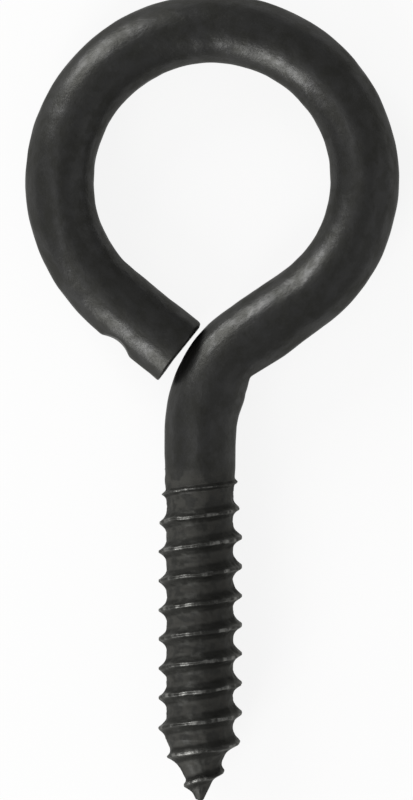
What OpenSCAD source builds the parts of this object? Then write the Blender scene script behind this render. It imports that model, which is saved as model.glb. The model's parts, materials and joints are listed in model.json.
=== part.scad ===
// Screw eye: one length of round steel wire, rolled with a wood-screw thread at one end and bent
// round into an open eye at the other. It lies flat, as it comes to rest: the eye's plane and the
// shank's axis are level, the point is towards -Y, and the thread's crests touch Z = 0.

/* [Wire] */
// Diameter of the wire in the shank and the neck
wire_d = 6.7; // [6.3:0.1:7.5]
// Diameter of the wire round the eye, a little thinner where it was drawn round the former
eye_wire_d = 6.5; // [5.5:0.05:7.5]

/* [Eye] */
// Clear diameter inside the eye
eye_d = 22.4; // [18:0.2:34]
// Sideways distance from the shank's axis to the centre of the eye
eye_shift = 1.15; // [0:0.05:2.5]
// How much tighter the eye's bend is next to the neck, at the centre of the wire
heel_tighter = 0.5; // [0.1:0.05:1.5]
// Where that tighter bend eases into the round, anticlockwise from the side that the neck leans to
heel_end = 31; // [0:1:45]
// Where the round of the eye ends, anticlockwise from the side that the neck leans to
round_end = 231; // [224:1:236]

/* [Cut end] */
// Clear gap between the corner of the cut end and the neck
end_gap = 0.5; // [0.3:0.05:3]
// Chamfer left round the cut end by the shear
end_chamfer = 0.25; // [0.05:0.05:0.5]
// Distance from the cut end back to the middle of the gripper's dent
grip_back = 5.1; // [2:0.1:6]
// Depth of the gripper's dent
grip_depth = 0.45; // [0.1:0.05:0.8]
// Diameter of the jaw that left the dent
grip_d = 5; // [3:0.5:9]
// How far the dent is turned from the outer side towards the top
grip_turn = 12; // [0:1:45]

/* [Neck] */
// Angle through which the neck turns the wire away from the shank
neck_lean = 54; // [48:1:60]
// Bend radius of the neck, to the centre of the wire
neck_r = 10; // [9:0.5:14]
// How far short of the arm, round the bend, the former's edge bit into the inside of the neck
bite_short = 12; // [6:1:12]
// Depth of the former's bite
bite_depth = 0.5; // [0.3:0.05:0.6]
// How far the bite reaches along the inside of the arm
bite_on_arm = 2.8; // [1:0.1:4]
// How far the bite reaches round the inside of the neck towards the shank
bite_on_neck = 1.1; // [0.6:0.1:1.2]

/* [Shank] */
// Length of straight plain shank between the neck and the thread
plain_len = 3.8; // [1:0.1:20]

/* [Thread] */
// Outside diameter of the thread
thread_d = 7.9; // [7.6:0.05:9.5]
// Diameter at the root of the thread
root_d = 6.25; // [5:0.05:6.25]
// Distance from one turn of the thread to the next
pitch = 2.75; // [2.5:0.05:3.6]
// Length of the thread, from its run-out on the shank to the tip
thread_len = 31.5; // [22:0.1:50]
// Distance along the axis from the middle of the ridge's crest to its foot on the eye's side
head_foot = 1.25; // [0.9:0.05:1.35]
// Distance along the axis from the middle of the ridge's crest to its foot on the tip's side
tip_foot = 1.1; // [0.6:0.05:1.1]
// Width of the land along the ridge's crest
crest_w = 0.2; // [0.1:0.05:0.4]
// Turns over which the ridge rises to its full height at the run-out
runout_turns = 2.25; // [1:0.25:4]
// Length over which the core tapers from the wire to the root of the thread
lead_in = 3; // [0.5:0.1:4]
// Angular place of the run-out, anticlockwise from +X seen from the eye
thread_start = -132; // [-180:1:180]

/* [Point] */
// Length of the cone at the point
point_len = 6; // [4:0.1:9]
// Diameter of the blunt tip
tip_d = 0.5; // [0.2:0.1:1]
// Height that the ridge would have at the tip, as a share of its full height
tip_ridge = 0.3; // [0:0.05:0.8]
// Turns over which the ridge dies away short of the tip
fade_turns = 0.3; // [0.1:0.05:1]

/* [Hidden] */
$fn = 96;
black_oxide = [0.2, 0.2, 0.19];

// Each length of wire reaches lap into the next one, seam inside its skin, so that no two skins touch.
lap = 0.2;
seam = 0.01;

// The wire's path, in the plane of the eye, with the eye's centre at [0, 0].
eye_r = (eye_d + eye_wire_d) / 2;
heel_r = eye_r - heel_tighter;
heel_centre = heel_tighter * [cos(heel_end), sin(heel_end)];
lap_turn = lap / heel_r * 180 / PI;
shank_x = -eye_shift;
arm_end = heel_centre + heel_r * [cos(neck_lean), -sin(neck_lean)];
arm_len = (arm_end[0] - shank_x - neck_r * (1 - cos(neck_lean))) / sin(neck_lean);
neck_y = arm_end[1] - arm_len * cos(neck_lean) - neck_r * sin(neck_lean);
neck_centre = [shank_x + neck_r, neck_y];
thread_y = neck_y - plain_len;

// The straight end runs on from the round until its inner corner is end_gap from the neck.
round_out = [cos(round_end), sin(round_end)];
end_way = [-sin(round_end), cos(round_end)];
corner = (eye_r - eye_wire_d / 2) * round_out - neck_centre;
corner_stop = neck_r + wire_d / 2 + end_gap;
end_len = -corner * end_way - sqrt(pow(corner * end_way, 2) - corner * corner + pow(corner_stop, 2));

// The thread, along +Z from its run-out.
ridge_h = (thread_d - root_d) / 2;
shank_d = wire_d - 2 * seam;
core_stations = [
    [-plain_len - lap, shank_d],
    [0, shank_d],
    [lead_in, root_d],
    [thread_len - point_len, root_d],
    [thread_len, tip_d]
];
ridge_turns = (thread_len - tip_foot / 2) / pitch; // it dies away just short of the tip
STEPS_PER_TURN = 26;
FLANK_STEPS = 4;
HEAD_CURVE = 2.6;    // above 1, the flank on the eye's side is hollow
TIP_CURVE = 2.1;     // and so is the one on the tip's side
ROOT_SINK = 0.04;    // how far the flanks' feet lie below the root
ROOT_DEPTH = 0.3;    // how far the ridge is rooted in the core
BITE_CLEAR = 1;      // how far the flats of the former's bite run on, clear of the wire

// The frame: the middle of the whole length at Y = 0, and the lowest crests at Z = 0.
top_y = eye_r + eye_wire_d / 2;
tip_y = thread_y - thread_len;
rest = [0, -(top_y + tip_y) / 2, thread_d / 2];

// The core's diameter follows its stations, and keeps its first and last ones beyond them.
function core_d(z) = lookup(z, core_stations);

// Size of the ridge, from 0 at the run-out to 1, then down again along the point and out at the tip.
function ridge_size(turn) =
    sqrt(min(1, turn / runout_turns, (ridge_turns - turn) / fade_turns))
    * (tip_ridge + (1 - tip_ridge) * min(1, core_d(turn * pitch) / root_d));

// One flank, from the root to the crest, as [height above the core, distance along the axis].
function flank(size, foot, curve) = [
    for (i = [0:FLANK_STEPS])
        let (up = i / FLANK_STEPS, out = crest_w / 2 + (1 - up) * (foot - crest_w / 2))
        [(ridge_h * size + ROOT_SINK) * pow(up, curve) - ROOT_SINK, out * size]
];

function ridge_section(turn) =
    let (
        size = ridge_size(turn),
        head_side = flank(size, head_foot, HEAD_CURVE),
        tip_side = flank(size, tip_foot, TIP_CURVE),
        depth = min(ROOT_DEPTH, core_d(turn * pitch) / 4)
    )
    concat(
        [[-depth, -head_side[0][1]]],
        [for (p = head_side) [p[0], -p[1]]],
        [for (i = [FLANK_STEPS:-1:0]) tip_side[i]],
        [[-depth, tip_side[0][1]]]
    );

function ridge_ring(turn) = [
    for (p = ridge_section(turn))
        let (z = turn * pitch + p[1], r = core_d(z) / 2 + p[0], angle = thread_start + 360 * turn)
        [r * cos(angle), r * sin(angle), z]
];

// A bend of round wire about the origin, anticlockwise from +X.
module bend(radius, turn, d) {
    rotate_extrude(angle = turn) translate([radius, 0]) circle(d = d);
}

// A straight round bar along +Z, through stations of [distance along it, diameter there].
module bar(stations) {
    last = len(stations) - 1;
    rotate_extrude() polygon(concat(
        [[0, stations[0][0]]],
        [for (station = stations) [station[1] / 2, station[0]]],
        [[0, stations[last][0]]]
    ));
}

module eye() {
    rotate([0, 0, heel_end]) bend(eye_r, round_end - heel_end, eye_wire_d);
}

// The tighter start of the eye, next to the arm.
module heel() {
    translate(heel_centre) rotate([0, 0, -neck_lean])
        bend(heel_r, neck_lean + heel_end + lap_turn, eye_wire_d - 2 * seam);
}

// The straight end of the wire, sheared square, with the dent of the gripper that closed the eye.
module cut_end() {
    d = eye_wire_d - 2 * seam;
    rotate([0, 0, round_end]) translate([eye_r, 0, 0]) rotate([-90, 0, 0]) difference() {
        bar([[-lap, d], [end_len - end_chamfer, d], [end_len, d - 2 * end_chamfer]]);
        rotate([0, 0, -grip_turn])
            translate([(eye_wire_d + grip_d) / 2 - grip_depth, 0, end_len - grip_back])
                rotate([90, 0, 0]) cylinder(h = eye_wire_d, d = grip_d, center = true);
    }
}

// The straight between the neck and the heel, tapering from the shank's wire to the eye's.
module arm() {
    d1 = wire_d - 2 * seam;
    d2 = eye_wire_d - 4 * seam;
    translate(heel_centre) rotate([0, 0, -neck_lean]) translate([heel_r, -arm_len, 0])
        rotate([-90, 0, 0]) bar([[-lap, d1], [0, d1], [arm_len, d2], [arm_len + lap, d2]]);
}

// The bend from the shank to the arm.
module neck() {
    translate(neck_centre) rotate([0, 0, 180 - neck_lean]) bend(neck_r, neck_lean, wire_d);
}

// What the former's edge pressed out of the inside of the neck and the arm: a long flat along the
// arm and a short one down the neck. The bend's centre is at [0, 0], the arm starts along +Y.
module former_bite() {
    inner_r = neck_r - wire_d / 2;
    edge = (inner_r + bite_depth) * [-cos(bite_short), -sin(bite_short)];
    below = bite_short + bite_on_neck / inner_r * 180 / PI;
    arm_flat = [-inner_r, bite_on_arm] - edge;
    neck_flat = inner_r * [-cos(below), -sin(below)] - edge;
    translate(neck_centre) rotate([0, 0, -neck_lean]) linear_extrude(wire_d, center = true)
        polygon([
            edge,
            edge + arm_flat * (1 + BITE_CLEAR / norm(arm_flat)),
            [0, 0],
            edge + neck_flat * (1 + BITE_CLEAR / norm(neck_flat))
        ]);
}

// The right-handed ridge, rolled up out of the core, along +Z.
module ridge() {
    steps = ceil(ridge_turns * STEPS_PER_TURN);
    rings = [for (i = [1:steps - 1]) ridge_ring(ridge_turns * i / steps)];
    corners = len(rings[0]);
    skin = [
        for (i = [0:steps - 3]) for (j = [0:corners - 1])
            let (a = i * corners + j, b = i * corners + (j + 1) % corners)
            each [[a, b, b + corners], [a, b + corners, a + corners]]
    ];
    start_cap = [for (j = [corners - 1:-1:0]) j];
    tip_cap = [for (j = [0:corners - 1]) (steps - 2) * corners + j];
    polyhedron([for (ring = rings) each ring], concat(skin, [start_cap, tip_cap]), convexity = 10);
}

// The plain shank, the core of the thread and the cone of the point, with the ridge round them.
module shank() {
    translate([shank_x, thread_y, 0]) rotate([90, 0, 0]) {
        bar(core_stations);
        ridge();
    }
}

module screw_eye() {
    color(black_oxide) translate(rest) union() {
        eye();
        heel();
        cut_end();
        difference() {
            union() {
                arm();
                neck();
            }
            former_bite();
        }
        shank();
    }
}

screw_eye();
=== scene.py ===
"""A screw eye of black-oxide steel wire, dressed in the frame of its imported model.

Run as a script it shapes the wire, gives it its finish, and sets it on a plain floor under studio
light. Its operators and their sizes also show in the 3D view's sidebar.
"""

import json
import math

import bpy
from bpy.props import FloatProperty, FloatVectorProperty, PointerProperty
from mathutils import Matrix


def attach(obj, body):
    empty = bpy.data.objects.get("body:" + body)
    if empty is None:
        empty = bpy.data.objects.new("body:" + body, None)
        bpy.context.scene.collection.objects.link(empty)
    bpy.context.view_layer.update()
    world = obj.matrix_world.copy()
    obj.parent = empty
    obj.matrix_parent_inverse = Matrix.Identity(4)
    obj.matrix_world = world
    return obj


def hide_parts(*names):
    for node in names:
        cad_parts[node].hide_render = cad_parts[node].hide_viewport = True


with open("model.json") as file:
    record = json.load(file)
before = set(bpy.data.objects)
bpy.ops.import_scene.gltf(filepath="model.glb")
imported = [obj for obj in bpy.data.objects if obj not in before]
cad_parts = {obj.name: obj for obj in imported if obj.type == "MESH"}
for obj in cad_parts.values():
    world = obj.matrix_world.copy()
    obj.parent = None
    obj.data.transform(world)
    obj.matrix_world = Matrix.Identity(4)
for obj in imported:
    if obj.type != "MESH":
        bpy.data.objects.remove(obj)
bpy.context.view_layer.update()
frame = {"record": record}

bl_info = {
    "name": "Screw Eye",
    "version": (1, 0, 0),
    "blender": (4, 5, 0),
    "location": "3D View > Sidebar > Screw Eye",
    "description": "Shapes a black-oxide steel screw eye and its studio stage",
    "category": "Mesh",
}

MM = 0.001
TURN = 2 * math.pi
MOUNTS = {mount["name"]: mount for mount in frame["record"]["mounts"]}
EYE, THREAD = MOUNTS["eye"], MOUNTS["screw_thread"]
NODE = "screw_eye"
BODY = "root"
SLOT = "black_oxide_steel"

# How finely the wire is meshed. Rings cross it, and each has RING_POINTS corners.
RING_POINTS = 96
THREAD_STEP = 0.055 * MM
WIRE_STEP = 0.28 * MM
END_STEP = 0.12 * MM
FACE_RINGS = 20
LAST_RING = 0.97  # how far the face's last ring is drawn in, before a cap closes it

# How the wire was shaped, run by run from the tip: each run is straight or one round bend.
RUNS = ("shank", "neck", "arm", "heel", "round", "end")

# What rolling did to the thread.
CREST_WANDER = 0.3 * MM  # how far the crests stray along the wire, over WANDER_GRAIN
WANDER_GRAIN = 1.6 * MM
RUNOUT_LATE = 0.42 * MM  # how much nearer the tip the crests stand at the run-out
POINT_LATE = 0.14 * MM  # and on the point
RISE_POWER = 0.65  # under 1, so the ridge rises quickly and then levels off
EYE_HOLLOW, TIP_HOLLOW = 2.55, 2.5  # 1 is a straight flank
EYE_HOLLOW_LEAN = 0.2  # how much straighter the eye-side flank is on the neck's inner side
EYE_FOOT_LEAN = 0.1 * MM  # and how much longer its foot is there
FULL_HEIGHT = 0.99  # share of its full height that the ridge reaches where nothing chipped it
CHIP_SHARE = 0.12  # what the deepest chip takes of it
CHIP_GRAIN = 0.8 * MM
CHIP_R = 4 * MM  # radius of the circle that the chips are laid out round
DIMPLE_DEPTH, DIMPLE_GRAIN = 0.11 * MM, 1.1 * MM
ROOT_LEAN = 0.05 * MM  # how much deeper the root is on the neck's inner side
POINT_FULLER = 0.13 * MM  # how much fuller the point is on the neck's outer side

# What drawing, bending and cutting did to the rest.
LUMP_DEPTH, LUMP_GRAIN = 0.08 * MM, 4 * MM
NECK_SWELL = 0.27 * MM  # inside the neck, below the former's bite
NECK_BULGE = 0.12 * MM  # outside the neck
JAW_SOFT, BITE_SOFT, BITE_CORNER = 0.4 * MM, 0.12 * MM, 0.3 * MM  # rounding of the tools' marks
LEAST_FACING = 0.02  # cosine under which the skin has turned away from a tool
INNER_EDGE, OUTER_EDGE = 0.42 * MM, 0.1 * MM  # rounding of the cut end's two sides
SHEAR_LIP = 0.12 * MM

# The finish: roughness of the oxide where it is deep and where it is worn, of the dust in the
# thread and of the bare steel, then what moves it.
DEEP_ROUGH, WORN_ROUGH, DUST_ROUGH, BARE_ROUGH = 0.44, 0.35, 0.72, 0.46
SPECK_ROUGH = 0.2
ROOT_ROUGH = 0.13
OXIDE_METAL = 0.8  # how much of the oxide reflects as metal does
BUMP_DEPTH = 0.03 * MM

# How the nodes are laid out in their editor.
NODES_IN_ROW = 16
NODE_SPACING = 240

# The stage, in metres.
FLOOR_HALF = 3.0
FLOOR_GLOW = 0.88  # share of the floor that shows plain white, while the rest takes the shadow
LIGHT_DISTANCE = 0.6


# ------------------------------------------------------------------------------------------------
# Sizes and colours
# ------------------------------------------------------------------------------------------------

def length(name, description, millimetres):
    return FloatProperty(name=name, description=description, default=millimetres * MM,
                         unit="LENGTH", precision=5)


def turn(name, description, degrees):
    return FloatProperty(name=name, description=description, default=math.radians(degrees),
                         unit="ROTATION")


def number(name, description, value):
    return FloatProperty(name=name, description=description, default=value)


def colour(name, description, rgb):
    return FloatVectorProperty(name=name, description=description, default=(*rgb, 1), size=4,
                               subtype="COLOR", min=0, max=1)


class ScrewEyeSizes(bpy.types.PropertyGroup):
    """Real sizes of the wire, its bends, its thread and the marks of the tools."""

    wire_d: length("Wire", "Diameter of the wire in the shank and the neck", 6.7)
    eye_wire_d: length("Eye wire", "Diameter of the wire round the eye", EYE["dims"]["length_mm"])
    eye_d: length("Eye", "Clear diameter inside the eye", 2 * EYE["dims"]["r_mm"])
    heel_tighter: length("Heel tighter", "How much tighter the eye is bent next to the neck", 0.5)
    heel_end: turn("Heel end", "Where the tighter bend eases into the round", 31)
    round_end: turn("Round end", "Where the round ends and the straight end starts", 231)
    end_gap: length("End gap", "Clear gap between the cut end's corner and the neck", 0.5)
    neck_lean: turn("Neck lean", "Angle through which the neck turns the wire", 54)
    neck_r: length("Neck bend", "Bend radius of the neck, to the centre of the wire", 10)

    thread_d: length("Thread", "Outside diameter of the thread", 2 * THREAD["dims"]["r_mm"])
    root_d: length("Root", "Diameter at the root of the thread", 6.25)
    pitch: length("Pitch", "Distance from one turn to the next", 2.75)
    thread_len: length("Thread length", "From the run-out to the tip", THREAD["dims"]["length_mm"])
    head_foot: length("Eye-side foot", "From the crest's middle to the foot, eye side", 1.42)
    tip_foot: length("Tip-side foot", "From the crest's middle to the foot, tip side", 1.25)
    crest_w: length("Crest", "Width of the land along the crest", 0.2)
    runout_turns: number("Run-out", "Turns over which the ridge rises at the run-out", 2.25)
    lead_in: length("Lead-in", "Length over which the core tapers to the root", 3)
    thread_start: turn("Thread start", "Angular place of the run-out, seen from the eye", -132)
    point_len: length("Point", "Length of the cone at the point", 6)
    tip_d: length("Tip", "Diameter of the blunt tip", 0.5)
    tip_ridge: number("Ridge at tip", "Height of the ridge at the tip, as a share", 0.55)
    fade_turns: number("Fade", "Turns over which the ridge dies away at the tip", 0.3)

    grip_back: length("Gripper back", "From the cut end to the middle of the gripper's dent", 5.1)
    grip_depth: length("Gripper depth", "Depth of the gripper's dent", 0.45)
    grip_d: length("Gripper jaw", "Diameter of the jaw that left the dent", 5)
    grip_turn: turn("Gripper turn", "How far the dent is turned towards the top", 3)
    bite_short: turn("Bite short", "How far short of the arm the former bit into the neck", 12)
    bite_depth: length("Bite depth", "Depth of the former's bite", 0.5)
    bite_on_arm: length("Bite on arm", "How far the bite reaches along the inside of the arm", 2.8)
    bite_on_neck: length("Bite on neck", "How far the bite reaches back round the neck", 1.1)


class ScrewEyeFinish(bpy.types.PropertyGroup):
    """Colours of the black oxide, of what shows through it, and of the painted shade on the
    thread's flanks.
    """

    oxide: colour("Oxide", "Black oxide over handled wire", (0.056, 0.056, 0.055))
    oxide_deep: colour("Deep oxide", "Thicker, darker oxide", (0.038, 0.038, 0.035))
    # Painted shade: this colour darkens the thread's flanks, where the lights leave shade.
    flank_shade: colour("Flank", "Sooty oxide on the thread's flanks", (0.024, 0.024, 0.022))
    residue: colour("Residue", "Dull oxide dust in the roots of the thread", (0.062, 0.061, 0.056))
    bare: colour("Bare steel", "Steel rubbed bare along the crests", (0.2, 0.2, 0.19))
    edge: colour("Edge", "Sheen of the oxide seen along its surface", (0.45, 0.45, 0.44))
    edge_deep: colour("Deep edge", "The same sheen on the dustier thread", (0.6, 0.6, 0.58))


class ScrewEyeStage(bpy.types.PropertyGroup):
    """The floor, the lights and the camera."""

    floor: colour("Floor", "Colour of the floor", (0.90, 0.90, 0.89))
    view_height: length("View height", "What the view takes in from bottom to top", 75.47)
    view_x: length("View X", "Middle of the view", -0.566)
    view_y: length("View Y", "Middle of the view", -0.184)
    camera_up: length("Camera height", "Height of the camera over the wire's middle", 600)
    sky: number("Sky", "Strength of the white surroundings", 0.3)
    upper_light: number("Upper light", "Radiance of the light from the upper left", 9.6)
    lower_light: number("Lower light", "Radiance of the light from the lower left", 8.8)
    overhead_light: number("Overhead light", "Radiance of the weak light overhead", 0.9)
    right_light: number("Right light", "Radiance of the weak light from the right", 0.3)


# ------------------------------------------------------------------------------------------------
# Nodes, written as sums
# ------------------------------------------------------------------------------------------------

def plug(socket, value):
    """Feeds a node's input from a field or a socket, or sets it to a plain value."""
    if isinstance(value, Field):
        value = value.socket
    if isinstance(value, bpy.types.NodeSocket):
        socket.id_data.links.new(value, socket)
    else:
        socket.default_value = value


def add(tree, kind, inputs=(), **settings):
    """Adds a node with these settings, and feeds its inputs by name or number."""
    node = tree.nodes.new(kind)
    row, column = divmod(len(tree.nodes), NODES_IN_ROW)
    node.location = (NODE_SPACING * column, -NODE_SPACING * row)
    for setting, value in settings.items():
        setattr(node, setting, value)
    for key, value in dict(inputs).items():
        plug(node.inputs[key], value)
    return node


class Field:
    """A number that varies over the surface. Sums on it become Math nodes."""

    def __init__(self, socket):
        self.socket = socket
        self.tree = socket.id_data

    def math(self, operation, *values, clamp=False):
        node = add(self.tree, "ShaderNodeMath", enumerate((self, *values)), operation=operation,
                   use_clamp=clamp)
        return Field(node.outputs[0])

    def __add__(self, other):
        return self.math("ADD", other)

    def __sub__(self, other):
        return self.math("SUBTRACT", other)

    def __mul__(self, other):
        return self.math("MULTIPLY", other)

    def __truediv__(self, other):
        return self.math("DIVIDE", other)

    def __pow__(self, other):
        return self.math("POWER", other)

    def __rsub__(self, other):
        return self.math("MULTIPLY_ADD", -1, other)

    __radd__ = __add__
    __rmul__ = __mul__

    def least(self, other):
        return self.math("MINIMUM", other)

    def most(self, other):
        return self.math("MAXIMUM", other)

    def share(self):
        """Held between 0 and 1."""
        return self.math("ADD", 0, clamp=True)

    def ramp(self, start, end, easing="LINEAR"):
        """0 up to start and 1 from end on, rising evenly between them."""
        node = add(self.tree, "ShaderNodeMapRange",
                   {"Value": self, "From Min": start, "From Max": end}, interpolation_type=easing)
        return Field(node.outputs[0])

    def smooth_ramp(self, start, end):
        """0 up to start and 1 from end on, rising softly between them."""
        return self.ramp(start, end, "SMOOTHSTEP")

    def mix(self, zero, one):
        """The first value where this is 0, and the second where it is 1."""
        return self * (one - zero) + zero


def constant(tree, value):
    node = add(tree, "ShaderNodeValue")
    node.outputs[0].default_value = value
    return Field(node.outputs[0])


def vector(x, y, z):
    tree = next(part.tree for part in (x, y, z) if isinstance(part, Field))
    return add(tree, "ShaderNodeCombineXYZ", {"X": x, "Y": y, "Z": z}).outputs[0]


def stretched(place, x, y, z):
    """A vector with each of its parts multiplied."""
    return add(place.id_data, "ShaderNodeVectorMath", {0: place, 1: (x, y, z)},
               operation="MULTIPLY").outputs[0]


def noise(place, grain, detail=2.0, roughness=0.5):
    """Seedless cloudy noise from about 0.3 to 0.7, in lumps about as large as the grain."""
    node = add(place.id_data, "ShaderNodeTexNoise",
               {"Vector": place, "Scale": 1 / grain, "Detail": detail, "Roughness": roughness})
    return Field(node.outputs[0])


# ------------------------------------------------------------------------------------------------
# The wire
# ------------------------------------------------------------------------------------------------

def wire_plan(sizes):
    """Length and turn of each run, and the flats of the former's bite, from the driving sizes."""
    eye_r = (sizes.eye_d + sizes.eye_wire_d) / 2
    heel_r = eye_r - sizes.heel_tighter
    lean = sizes.neck_lean
    eye_x, eye_y = EYE["pos_m"][0], EYE["pos_m"][1]
    thread_x, thread_y = THREAD["pos_m"][0], THREAD["pos_m"][1]
    arm_end_x = eye_x + sizes.heel_tighter * math.cos(sizes.heel_end) + heel_r * math.cos(lean)
    arm_end_y = eye_y + sizes.heel_tighter * math.sin(sizes.heel_end) - heel_r * math.sin(lean)
    arm = (arm_end_x - thread_x - sizes.neck_r * (1 - math.cos(lean))) / math.sin(lean)
    neck_x = thread_x + sizes.neck_r
    neck_y = arm_end_y - arm * math.cos(lean) - sizes.neck_r * math.sin(lean)

    # The straight end stops where its inner corner is end_gap from the neck.
    out = (math.cos(sizes.round_end), math.sin(sizes.round_end))
    way = (-out[1], out[0])
    inner_r = eye_r - sizes.eye_wire_d / 2
    corner = (eye_x + inner_r * out[0] - neck_x, eye_y + inner_r * out[1] - neck_y)
    stop = sizes.neck_r + sizes.wire_d / 2 + sizes.end_gap
    along = corner[0] * way[0] + corner[1] * way[1]
    end = -along - math.sqrt(along ** 2 - corner[0] ** 2 - corner[1] ** 2 + stop ** 2)

    plan = {}
    for run, run_length, run_turn in (
        ("shank", sizes.thread_len + neck_y - thread_y, 0),
        ("neck", sizes.neck_r * lean, -lean),
        ("arm", arm, 0),
        ("heel", heel_r * (lean + sizes.heel_end), lean + sizes.heel_end),
        ("round", eye_r * (sizes.round_end - sizes.heel_end), sizes.round_end - sizes.heel_end),
        ("end", end, 0),
    ):
        plan[f"{run} length"], plan[f"{run} turn"] = run_length, run_turn

    # The bite's corner, and which way each of its flats heads from there.
    def round_neck(radius, back, on=0.0):
        """A place that far round the bend short of the arm, and that far on along the arm's way."""
        a = lean - back
        return (neck_x - radius * math.cos(a) + on * math.sin(a),
                neck_y + radius * math.sin(a) + on * math.cos(a))

    skin_r = sizes.neck_r - sizes.wire_d / 2
    bite = round_neck(skin_r + sizes.bite_depth, sizes.bite_short)
    plan["Bite X"], plan["Bite Y"] = bite
    for label, end_place in (
        ("Arm flat", round_neck(skin_r, 0, sizes.bite_on_arm)),
        ("Neck flat", round_neck(skin_r, sizes.bite_short + sizes.bite_on_neck / skin_r)),
    ):
        plan[label] = math.atan2(end_place[1] - bite[1], end_place[0] - bite[0])
    return plan


def new_tree(name, kind, inputs, outputs):
    """A node tree with named inputs and outputs, given as (name, socket type)."""
    tree = bpy.data.node_groups.new(name, kind)
    for label, socket_type in inputs:
        tree.interface.new_socket(name=label, in_out="INPUT", socket_type=socket_type)
    for label, socket_type in outputs:
        tree.interface.new_socket(name=label, in_out="OUTPUT", socket_type=socket_type)
    return tree, add(tree, "NodeGroupInput"), add(tree, "NodeGroupOutput")


def wire_run_group():
    """One run: moves a place and a heading on by what is left of the way, up to its length."""
    places = ("X", "Y", "Heading", "Way left")
    ins = [(label, "NodeSocketFloat") for label in (*places, "Length", "Turn")]
    outs = [(label, "NodeSocketFloat") for label in places]
    tree, start, end = new_tree("Wire run", "GeometryNodeTree", ins, outs)
    x, y, heading, way, run_length, run_turn = (Field(start.outputs[label]) for label, _ in ins)
    done = way.most(0).least(run_length)

    # Half the turn is kept off 0, which a straight run's would be, because the chord divides by it.
    half_turn = run_turn * done / run_length / 2
    size = half_turn.math("ABSOLUTE").most(1e-6)
    chord = done * size.math("SINE") / size
    chord_heading = heading + half_turn
    results = (
        x + chord * chord_heading.math("COSINE"),
        y + chord * chord_heading.math("SINE"),
        chord_heading + half_turn,
        way - done,
    )
    for label, value in zip(places, results):
        plug(end.inputs[label], value)
    return tree


def stored(tree, geometry, label, value, kind="FLOAT"):
    """The geometry, with this value kept at each of its points."""
    return add(tree, "GeometryNodeStoreNamedAttribute",
               {"Geometry": geometry, "Name": label, "Value": value},
               data_type=kind, domain="POINT").outputs[0]


def read(tree, label):
    """A value kept at each point."""
    return Field(add(tree, "GeometryNodeInputNamedAttribute", {"Name": label},
                     data_type="FLOAT").outputs[0])


def wire_length(lengths):
    """Length of the whole wire."""
    total = lengths["shank"]
    for run in RUNS[1:]:
        total = total + lengths[run]
    return total


def wire_tube(tree, size, lengths):
    """A tube of rings, whose points know how far along and around the wire they stand."""
    index = Field(add(tree, "GeometryNodeInputIndex").outputs[0])
    end_start = wire_length(lengths) - lengths["end"]
    reach = constant(tree, 0.0)
    ring_count = constant(tree, 0.0)
    for stretch, step in (
        (size["thread_len"], THREAD_STEP),
        (end_start - size["thread_len"], WIRE_STEP),
        (lengths["end"], END_STEP),
    ):
        steps = (stretch / step).math("CEIL")
        reach = reach + (index - ring_count).most(0).least(steps) * stretch / steps
        ring_count = ring_count + steps

    # The rings past the wire's end shrink across the sheared face.
    face = ((index - ring_count) / FACE_RINGS).share()
    rings = add(tree, "GeometryNodeResampleCurve",
                {"Curve": add(tree, "GeometryNodeCurvePrimitiveLine").outputs[0],
                 "Count": ring_count + (FACE_RINGS + 1)}, mode="COUNT")
    spokes = add(tree, "GeometryNodeCurvePrimitiveCircle", {"Resolution": RING_POINTS})
    path = stored(tree, stored(tree, rings.outputs[0], "along", reach), "face", face)
    profile = stored(tree, spokes.outputs[0], "around", index * (TURN / RING_POINTS))
    return add(tree, "GeometryNodeCurveToMesh",
               {"Curve": path, "Profile Curve": profile, "Fill Caps": True}).outputs[0]


def wire_path(tree, given, lengths, along):
    """The wire's middle and its heading that far along it, from the tip, which points to -Y."""
    run_group = wire_run_group()
    x, y, heading, way = given["Tip X"], given["Tip Y"], math.pi / 2, along
    for run in RUNS:
        node = add(tree, "GeometryNodeGroup", node_tree=run_group)
        inputs = {"X": x, "Y": y, "Heading": heading, "Way left": way,
                  "Length": lengths[run], "Turn": given[f"{run} turn"]}
        for label, value in inputs.items():
            plug(node.inputs[label], value)
        x, y, heading, way = (Field(node.outputs[label])
                              for label in ("X", "Y", "Heading", "Way left"))
    return x, y, heading


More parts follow.
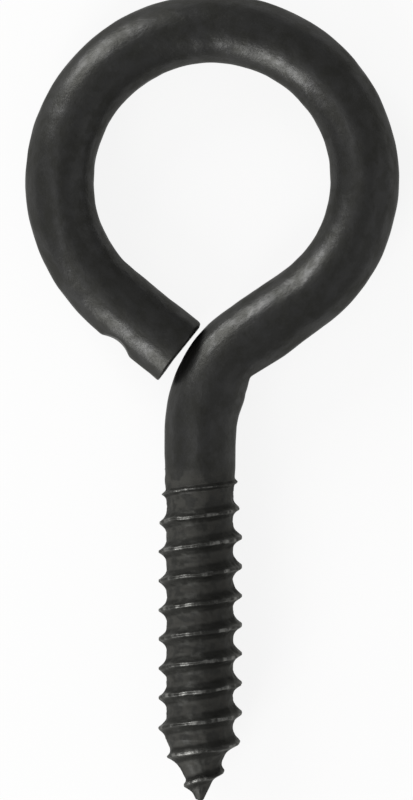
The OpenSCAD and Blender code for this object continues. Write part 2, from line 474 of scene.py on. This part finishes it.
class WireSkin:
    """How far the skin stands from the wire's middle, along the wire and around it.

    cos_around is 1 on the inner side of the neck, which is the outer side of the eye, and -1 on
    the side opposite.
    """

    def __init__(self, size, lengths, along, around):
        self.size, self.along, self.around = size, along, around
        self.cos_around, self.sin_around = around.math("COSINE"), around.math("SINE")
        self.tip_r, self.root_r = size["tip_d"] / 2, size["root_d"] / 2
        self.wire_r, self.eye_wire_r = size["wire_d"] / 2, size["eye_wire_d"] / 2
        self.arm_start = lengths["shank"] + lengths["neck"]
        self.arm_end = self.arm_start + lengths["arm"]
        self.total = wire_length(lengths)
        self.end_start = self.total - lengths["end"]
        self.down = size["thread_len"] - along
        self.on_thread = self.down.smooth_ramp(-0.5 * MM, 1.5 * MM)
        self.bite_off = along - (self.arm_start - size["bite_short"] * size["neck_r"])
        self.blank = vector(self.wire_r * self.cos_around, self.wire_r * self.sin_around, along)

    def core_r(self, place):
        """The core: tip, point, root, wire and, round the eye, the wire its bend drew thinner."""
        size = self.size
        core = place.ramp(0, size["point_len"]) * (self.root_r - self.tip_r) + self.tip_r
        lead = place.ramp(size["thread_len"] - size["lead_in"], size["thread_len"])
        core = core + lead * (self.wire_r - self.root_r)
        drawn = place.ramp(self.arm_start, self.arm_end)
        drawn = drawn * (1 - place.ramp(self.end_start - 3 * MM, self.end_start))
        return core + drawn * (self.eye_wire_r - self.wire_r)

    def rolled_ridge(self):
        """The ridge as a share of its full height, its height, and how much of its crest stands,
        held lower on the side away from the lights as painted shade.
        """
        size, down, pitch = self.size, self.down, self.size["pitch"]

        # crest_off is how far a place lies from the nearest crest, towards the tip.
        wander = (noise(self.blank, WANDER_GRAIN) - 0.5) * CREST_WANDER
        late = (1 - down.smooth_ramp(0, 1.2 * pitch)) * RUNOUT_LATE
        late = late + (1 - self.along.smooth_ramp(6 * MM, 11 * MM)) * POINT_LATE
        turns = (down + wander - late) / pitch - (self.around - size["thread_start"]) / TURN
        head_share = size["head_foot"] / (size["head_foot"] + size["tip_foot"])
        crest_off = (turns - (turns + head_share).math("FLOOR")) * pitch
        crest_down = down - crest_off

        # It rises at the run-out, is lower on the point, and dies away just before the tip.
        crest_turn = crest_down / pitch
        ridge_turns = (size["thread_len"] - size["tip_foot"] / 2) / pitch
        fade = (ridge_turns - crest_turn) / size["fade_turns"]
        rise = (crest_turn / size["runout_turns"]).least(fade)
        taper = (self.core_r(size["thread_len"] - crest_down) / self.root_r).least(1)
        height_share = rise.share() ** RISE_POWER * taper.mix(size["tip_ridge"], 1)

        # Its flanks are hollow, and the one towards the eye is longer.
        tip_side = crest_off.math("GREATER_THAN", 0)
        foot = tip_side.mix(size["head_foot"] + self.cos_around * EYE_FOOT_LEAN, size["tip_foot"])
        hollow = tip_side.mix(EYE_HOLLOW - self.cos_around * EYE_HOLLOW_LEAN, TIP_HOLLOW)
        half_crest = size["crest_w"] / 2
        crest_dist = crest_off.math("ABSOLUTE") / height_share.most(0.01)
        fall = ((crest_dist - half_crest) / (foot - half_crest)).share()
        crest = (1 - fall) ** hollow
        ridge = crest * height_share

        on_crest = vector(self.cos_around * CHIP_R, self.sin_around * CHIP_R, crest_down)
        chip = noise(on_crest, CHIP_GRAIN, 3).smooth_ramp(0.52, 0.72) * CHIP_SHARE
        height = (size["thread_d"] - size["root_d"]) / 2 * ridge * (FULL_HEIGHT - chip)
        stands = crest * (1 - chip) * height_share.ramp(0.1, 0.45)
        # Painted shade: the crests are rubbed bright less on the side away from the lights, where
        # cos_around nears 1.
        stands = stands * (1 - self.cos_around.smooth_ramp(0.3, 0.95) * 0.1)
        return ridge, height, stands

    def threaded(self, ridge, height):
        """The core with its ridge, and pressed in a little here and there."""
        along, cos_around, on_thread = self.along, self.cos_around, self.on_thread
        core = self.core_r(along)
        on_eye = along.ramp(self.arm_start, self.arm_end)
        on_eye = on_eye * (1 - along.ramp(self.end_start - 5 * MM, self.end_start))
        outer = on_eye * cos_around.smooth_ramp(-0.3, 0.5)
        lumps = noise(self.blank, LUMP_GRAIN).smooth_ramp(0.3, 0.7)
        lumps = (lumps - (1 - outer) / 2) * LUMP_DEPTH
        dimples = noise(self.blank, DIMPLE_GRAIN, 3).smooth_ramp(0.3, 0.7) * DIMPLE_DEPTH
        root_marks = (dimples - DIMPLE_DEPTH / 2) * (core / self.root_r).least(1)
        root_marks = root_marks + cos_around * ROOT_LEAN
        radius = core - lumps * (1 - on_thread)
        radius = radius - root_marks * on_thread * (1 - ridge.least(1)) + height
        on_point = along.smooth_ramp(1.5 * MM, 4 * MM) * (1 - along.smooth_ramp(5 * MM, 8 * MM))
        return radius + on_point * (1 - cos_around.smooth_ramp(-1, -0.2)) * POINT_FULLER

    def blunted(self, radius):
        """The skin with its tip blunt and round."""
        along = self.along
        tip_round = (along * (self.size["tip_d"] - along).most(0)).math("SQRT")
        return along.math("LESS_THAN", self.tip_r).mix(radius, tip_round.least(radius))

    def bent(self, radius):
        """The skin, swollen by the neck's bend: inside it below the bite, and outside it."""
        bite_off, cos_around = self.bite_off, self.cos_around
        squeezed = bite_off.smooth_ramp(-10 * MM, -3.4 * MM)
        squeezed = squeezed * (1 - bite_off.smooth_ramp(-3.1 * MM, -1.8 * MM))
        bulged = 1 - ((bite_off - 2 * MM) / (6 * MM)).math("ABSOLUTE").smooth_ramp(0.3, 1)
        radius = radius + squeezed * cos_around.smooth_ramp(0.2, 1) * NECK_SWELL
        return radius + bulged * (1 - cos_around.smooth_ramp(-1, -0.2)) * NECK_BULGE

    def struck(self, radius, towards, stand, softness):
        """The skin, stopped by a tool's face that stands that far from the wire's middle."""
        facing = (self.around - towards).math("COSINE")
        hit = radius.math("SMOOTH_MIN", stand / facing.most(LEAST_FACING), softness)
        return facing.math("GREATER_THAN", LEAST_FACING).mix(radius, hit)

    def gripped(self, radius):
        """The skin with the round dent of the gripper's jaw."""
        size = self.size
        jaw_r = size["grip_d"] / 2
        jaw_off = self.along - (self.total - size["grip_back"])
        jaw_half = (jaw_r * jaw_r - jaw_off * jaw_off).most(0).math("SQRT")
        stand = self.eye_wire_r + jaw_r - size["grip_depth"] - jaw_half
        return self.struck(radius, size["grip_turn"], stand, JAW_SOFT)

    def bitten(self, radius, given, x, y, heading):
        """The skin with the two flats that the former's edge bit into the inside of the neck."""
        def flat_stand(flat):
            """How far along its inward radius a ring's middle stands from a flat."""
            flat_sin, flat_cos = flat.math("SINE"), flat.math("COSINE")
            ahead = (given["Bite X"] - x) * flat_sin - (given["Bite Y"] - y) * flat_cos
            inward = heading.math("SINE") * flat_sin + heading.math("COSINE") * flat_cos
            return ahead / inward

        arm_stand, neck_stand = flat_stand(given["Arm flat"]), flat_stand(given["Neck flat"])
        stand = arm_stand.math("SMOOTH_MAX", neck_stand, BITE_CORNER)

        # Further off, the planes of the flats would cut the rest of the wire.
        near_bite = self.bite_off.math("GREATER_THAN", -4 * MM)
        near_bite = near_bite * self.bite_off.math("LESS_THAN", 8 * MM)
        return near_bite.mix(radius, self.struck(radius, 0, stand, BITE_SOFT))

    def sheared(self, radius, face):
        """The cut end, whose inner edge the shear rounded, and its flat face."""
        edge = self.cos_around.ramp(-1, 1).mix(INNER_EDGE, OUTER_EDGE)
        short = (edge - (self.total - self.along)).most(0)
        radius = radius - edge + (edge * edge - short * short).most(0).math("SQRT")
        return radius * (1 - face * LAST_RING)

    def lip(self, face):
        """How far past the cut the shear dragged the skin, on its outer side."""
        lip = (self.along - self.total).smooth_ramp(-0.9 * MM, 0)
        lip = lip * self.cos_around.smooth_ramp(0.55, 1) * (1 - face).smooth_ramp(0, 1)
        return lip * SHEAR_LIP


def wire_tree(material):
    """The whole wire: rings strung along its path, each drawn in to its skin."""
    keys = list(ScrewEyeSizes.__annotations__)
    names = {key: ScrewEyeSizes.bl_rna.properties[key].name for key in keys}
    plan_labels = [f"{run} {what}" for run in RUNS for what in ("length", "turn")]
    plan_labels += ["Bite X", "Bite Y", "Arm flat", "Neck flat", "Tip X", "Tip Y", "Tip Z"]
    ins = [(label, "NodeSocketFloat") for label in (*names.values(), *plan_labels)]
    tree, start, end = new_tree("Screw eye wire", "GeometryNodeTree", ins,
                                [("Geometry", "NodeSocketGeometry")])
    tree.is_modifier = True
    size = {key: Field(start.outputs[names[key]]) for key in keys}
    given = {label: Field(start.outputs[label]) for label in plan_labels}
    lengths = {run: given[f"{run} length"] for run in RUNS}

    tube = wire_tube(tree, size, lengths)
    along, around, face = (read(tree, label) for label in ("along", "around", "face"))
    x, y, heading = wire_path(tree, given, lengths, along)

    skin = WireSkin(size, lengths, along, around)
    ridge, height, stands = skin.rolled_ridge()
    radius = skin.blunted(skin.threaded(ridge, height))
    radius = skin.gripped(skin.bent(radius))
    radius = skin.bitten(radius, given, x, y, heading)
    radius = skin.sheared(radius, face)

    heading_cos, heading_sin = heading.math("COSINE"), heading.math("SINE")
    lip = skin.lip(face)
    x = x + heading_sin * skin.cos_around * radius + heading_cos * lip
    y = y - heading_cos * skin.cos_around * radius + heading_sin * lip
    z = given["Tip Z"] + skin.sin_around * radius
    wire = add(tree, "GeometryNodeSetPosition",
               {"Geometry": tube, "Position": vector(x, y, z)}).outputs[0]

    # What the finish needs to know: the place on the wire before it was bent, in millimetres, how
    # much of the crest stands there, lowered on the side away from the lights as painted shade, and
    # whether it is threaded.
    blank_mm = vector(radius * skin.cos_around * (1 / MM), radius * skin.sin_around * (1 / MM),
                      along * (1 / MM))
    wire = stored(tree, wire, "blank", blank_mm, "FLOAT_VECTOR")
    wire = stored(tree, wire, "ridge", stands)
    wire = stored(tree, wire, "threaded", skin.on_thread)
    for label in ("along", "around", "face"):
        wire = add(tree, "GeometryNodeRemoveAttribute",
                   {"Geometry": wire, "Name": label}).outputs[0]
    wire = add(tree, "GeometryNodeFlipFaces", {"Mesh": wire}).outputs[0]
    wire = add(tree, "GeometryNodeSetShadeSmooth", {"Geometry": wire}).outputs[0]
    wire = add(tree, "GeometryNodeRealizeInstances", {"Geometry": wire}).outputs[0]
    wire = add(tree, "GeometryNodeSetMaterial",
               {"Geometry": wire, "Material": material}).outputs[0]
    plug(end.inputs["Geometry"], wire)
    return tree


def shaped(tree, name, values):
    """The piece whose plain mesh a Geometry Nodes tree makes from these values."""
    piece = bpy.data.objects.new(name, bpy.data.meshes.new(name))
    bpy.context.scene.collection.objects.link(piece)
    modifier = piece.modifiers.new(tree.name, "NODES")
    modifier.node_group = tree
    for item in tree.interface.items_tree:
        if item.in_out == "INPUT":
            modifier[item.identifier] = float(values[item.name])
    evaluated = piece.evaluated_get(bpy.context.evaluated_depsgraph_get())
    mesh = bpy.data.meshes.new_from_object(evaluated)
    piece.modifiers.remove(modifier)
    piece.data = mesh
    mesh.name = name
    if not mesh.polygons:
        raise RuntimeError(f"{tree.name} made no faces")
    return piece


# ------------------------------------------------------------------------------------------------
# The finish
# ------------------------------------------------------------------------------------------------

def attribute(tree, label):
    return add(tree, "ShaderNodeAttribute", attribute_name=label, attribute_type="GEOMETRY")


def mixed(tree, share, zero, one):
    """A colour between two."""
    # The node has sockets of one name for each kind of value. Its colours are these by place.
    node = add(tree, "ShaderNodeMix", data_type="RGBA")
    plug(node.inputs["Factor"], share)
    plug(node.inputs[6], zero)
    plug(node.inputs[7], one)
    return node.outputs[2]


def black_oxide(finish):
    """Black oxide: a clouded satin on the wire, and dusty and rubbed bare on the thread, with
    painted shade on its flanks.
    """
    material = bpy.data.materials.new(SLOT)
    material.use_nodes = True
    tree = material.node_tree
    tree.nodes.clear()
    blank = attribute(tree, "blank").outputs["Vector"]
    ridge = Field(attribute(tree, "ridge").outputs["Fac"])
    threaded = Field(attribute(tree, "threaded").outputs["Fac"])

    # Clouds of thinner oxide, from handling.
    clouds = noise(blank, 3.0, 4, 0.6)
    patches = noise(stretched(blank, 1, 1, 0.7), 1.1, 3, 0.55)
    streaks = noise(stretched(blank, 1, 1, 0.06), 0.35, 3, 0.6)
    specks = noise(blank, 0.28, 3, 0.65)
    worn = clouds.smooth_ramp(0.38, 0.62) * 0.5 + patches.smooth_ramp(0.4, 0.6) * 0.5
    worn = worn * (1 - threaded * 0.7)
    oxide = mixed(tree, worn, tuple(finish.oxide_deep), tuple(finish.oxide))

    # Dust in the thread's roots, painted shade on its flanks, and bare steel along its crests.
    roots = threaded * (1 - ridge.smooth_ramp(0.3, 0.75))
    dusty = roots * noise(blank, 0.9, 3).smooth_ramp(0.43, 0.57)
    oxide = mixed(tree, dusty, oxide, tuple(finish.residue))
    # Painted shade darkens the thread's flanks, from the foot of the ridge to below the crest.
    flanks = threaded * ridge.smooth_ramp(0.02, 0.2) * (1 - ridge.smooth_ramp(0.55, 0.8))
    oxide = mixed(tree, flanks, oxide, tuple(finish.flank_shade))
    handled = noise(stretched(blank, 1, 1, 0.45), 0.9, 3, 0.6)
    rubbed = ridge.smooth_ramp(0.74, 0.92) * handled.smooth_ramp(0.45, 0.65)
    oxide = mixed(tree, rubbed, oxide, tuple(finish.bare))

    edge = mixed(tree, threaded, tuple(finish.edge), tuple(finish.edge_deep))
    roughness = worn.mix(DEEP_ROUGH, WORN_ROUGH) + (specks - 0.5) * SPECK_ROUGH + roots * ROOT_ROUGH
    roughness = rubbed.mix(dusty.mix(roughness, DUST_ROUGH), BARE_ROUGH)
    height = patches * 2.0 + specks * 0.5 + streaks * 0.3
    bump = add(tree, "ShaderNodeBump", {"Strength": 1.0, "Distance": BUMP_DEPTH, "Height": height})
    shader = add(tree, "ShaderNodeBsdfPrincipled",
                 {"Base Color": oxide, "Metallic": rubbed.mix(OXIDE_METAL, 1.0),
                  "Roughness": roughness, "Specular Tint": edge, "Normal": bump.outputs[0]})
    add(tree, "ShaderNodeOutputMaterial", {"Surface": shader.outputs[0]})
    return material


class ScrewEyeShape(bpy.types.Operator):
    """Shape the screw eye's wire and give it its black oxide"""

    bl_idname = "mesh.screw_eye_shape"
    bl_label = "Screw Eye"
    bl_options = {"REGISTER", "UNDO"}

    def execute(self, context):
        sizes = context.scene.screw_eye_sizes
        tree = wire_tree(black_oxide(context.scene.screw_eye_finish))
        values = {ScrewEyeSizes.bl_rna.properties[key].name: getattr(sizes, key)
                  for key in ScrewEyeSizes.__annotations__}
        values.update(wire_plan(sizes))
        thread_x, thread_y, thread_z = THREAD["pos_m"]
        values.update({"Tip X": thread_x, "Tip Y": thread_y - sizes.thread_len, "Tip Z": thread_z})
        piece = shaped(tree, "screw_eye_wire", values)
        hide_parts(NODE)
        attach(piece, BODY)
        return {"FINISHED"}


# ------------------------------------------------------------------------------------------------
# The stage
# ------------------------------------------------------------------------------------------------

def seen(tree):
    """1 on the rays that show a surface itself: to the camera, off metal and through glass."""
    path = add(tree, "ShaderNodeLightPath")
    camera, glossy, through = (Field(path.outputs[f"Is {kind} Ray"])
                               for kind in ("Camera", "Glossy", "Transmission"))
    return camera.most(glossy).most(through)


def floor_material(stage):
    """A pale matt floor that shows nearly white, and keeps the object's shadow."""
    material = bpy.data.materials.new("pale_floor")
    material.use_nodes = True
    tree = material.node_tree
    tree.nodes.clear()
    matt = add(tree, "ShaderNodeBsdfDiffuse", {"Color": tuple(stage.floor)})
    glow = add(tree, "ShaderNodeEmission", {"Color": (1, 1, 1, 1), "Strength": 1.0})
    mix = add(tree, "ShaderNodeMixShader",
              {0: seen(tree) * FLOOR_GLOW, 1: matt.outputs[0], 2: glow.outputs[0]})
    add(tree, "ShaderNodeOutputMaterial", {"Surface": mix.outputs[0]})
    return material


def white_world(stage):
    """White surroundings that light the object softly from all sides."""
    world = bpy.data.worlds.new("white_surroundings")
    world.use_nodes = True
    tree = world.node_tree
    tree.nodes.clear()
    sky = add(tree, "ShaderNodeBackground", {"Color": (1, 1, 1, 1), "Strength": stage.sky})
    add(tree, "ShaderNodeOutputWorld", {"Surface": sky.outputs[0]})
    return world


def soft_light(name, azimuth, elevation, width, height, radiance):
    """A rectangular light of that radiance, at a compass place round the origin, aimed at it."""
    data = bpy.data.lights.new(name, "AREA")
    data.shape = "RECTANGLE"
    data.size, data.size_y = width, height
    data.energy = radiance * math.pi * width * height
    light = bpy.data.objects.new(name, data)
    bpy.context.scene.collection.objects.link(light)
    a, e = math.radians(azimuth), math.radians(elevation)
    out = LIGHT_DISTANCE * math.cos(e)
    light.location = (out * math.cos(a), out * math.sin(a), LIGHT_DISTANCE * math.sin(e))
    light.rotation_euler = light.location.to_track_quat("Z", "Y").to_euler()
    return light


class ScrewEyeSetStage(bpy.types.Operator):
    """Lay a pale floor, and set the soft lights and the camera over it"""

    bl_idname = "scene.screw_eye_stage"
    bl_label = "Studio Stage"
    bl_options = {"REGISTER", "UNDO"}

    def execute(self, context):
        scene, stage = context.scene, context.scene.screw_eye_stage
        scene.view_settings.view_transform = "Standard"
        scene.world = white_world(stage)

        mesh = bpy.data.meshes.new("floor")
        half = FLOOR_HALF
        corners = [(-half, -half, 0), (half, -half, 0), (half, half, 0), (-half, half, 0)]
        mesh.from_pydata(corners, [], [(0, 1, 2, 3)])
        mesh.materials.append(floor_material(stage))
        floor = bpy.data.objects.new("floor", mesh)
        scene.collection.objects.link(floor)

        for name, azimuth, elevation, width, height, radiance in (
            ("upper_left_light", 130, 21, 0.24, 0.40, stage.upper_light),
            ("lower_left_light", 240, 24, 0.25, 0.46, stage.lower_light),
            ("overhead_light", 195, 64, 0.25, 0.25, stage.overhead_light),
            ("right_light", 0, 32, 0.60, 0.50, stage.right_light),
        ):
            soft_light(name, azimuth, elevation, width, height, radiance)

        data = bpy.data.cameras.new("camera")
        data.sensor_fit = "AUTO"
        data.lens = data.sensor_width * stage.camera_up / stage.view_height
        data.clip_start = 0.01
        camera = bpy.data.objects.new("camera", data)
        camera.location = (stage.view_x, stage.view_y, THREAD["pos_m"][2] + stage.camera_up)
        scene.collection.objects.link(camera)
        scene.camera = camera
        return {"FINISHED"}


# ------------------------------------------------------------------------------------------------
# The add-on
# ------------------------------------------------------------------------------------------------

class ScrewEyePanel(bpy.types.Panel):
    """The screw eye's operators, sizes and colours"""

    bl_idname = "VIEW3D_PT_screw_eye"
    bl_label = "Screw Eye"
    bl_space_type = "VIEW_3D"
    bl_region_type = "UI"
    bl_category = "Screw Eye"

    def draw(self, context):
        for operator, groups in (
            (ScrewEyeShape, (context.scene.screw_eye_sizes, context.scene.screw_eye_finish)),
            (ScrewEyeSetStage, (context.scene.screw_eye_stage,)),
        ):
            box = self.layout.box()
            box.operator(operator.bl_idname)
            for group in groups:
                for key in type(group).__annotations__:
                    box.prop(group, key)


CLASSES = (ScrewEyeSizes, ScrewEyeFinish, ScrewEyeStage, ScrewEyeShape, ScrewEyeSetStage,
           ScrewEyePanel)
GROUPS = {
    "screw_eye_sizes": ScrewEyeSizes,
    "screw_eye_finish": ScrewEyeFinish,
    "screw_eye_stage": ScrewEyeStage,
}


def register():
    for cls in CLASSES:
        bpy.utils.register_class(cls)
    for name, group in GROUPS.items():
        setattr(bpy.types.Scene, name, PointerProperty(type=group))


def unregister():
    for name in GROUPS:
        delattr(bpy.types.Scene, name)
    for cls in reversed(CLASSES):
        bpy.utils.unregister_class(cls)


def main():
    register()
    bpy.ops.mesh.screw_eye_shape()
    bpy.ops.scene.screw_eye_stage()


if __name__ == "__main__":
    main()
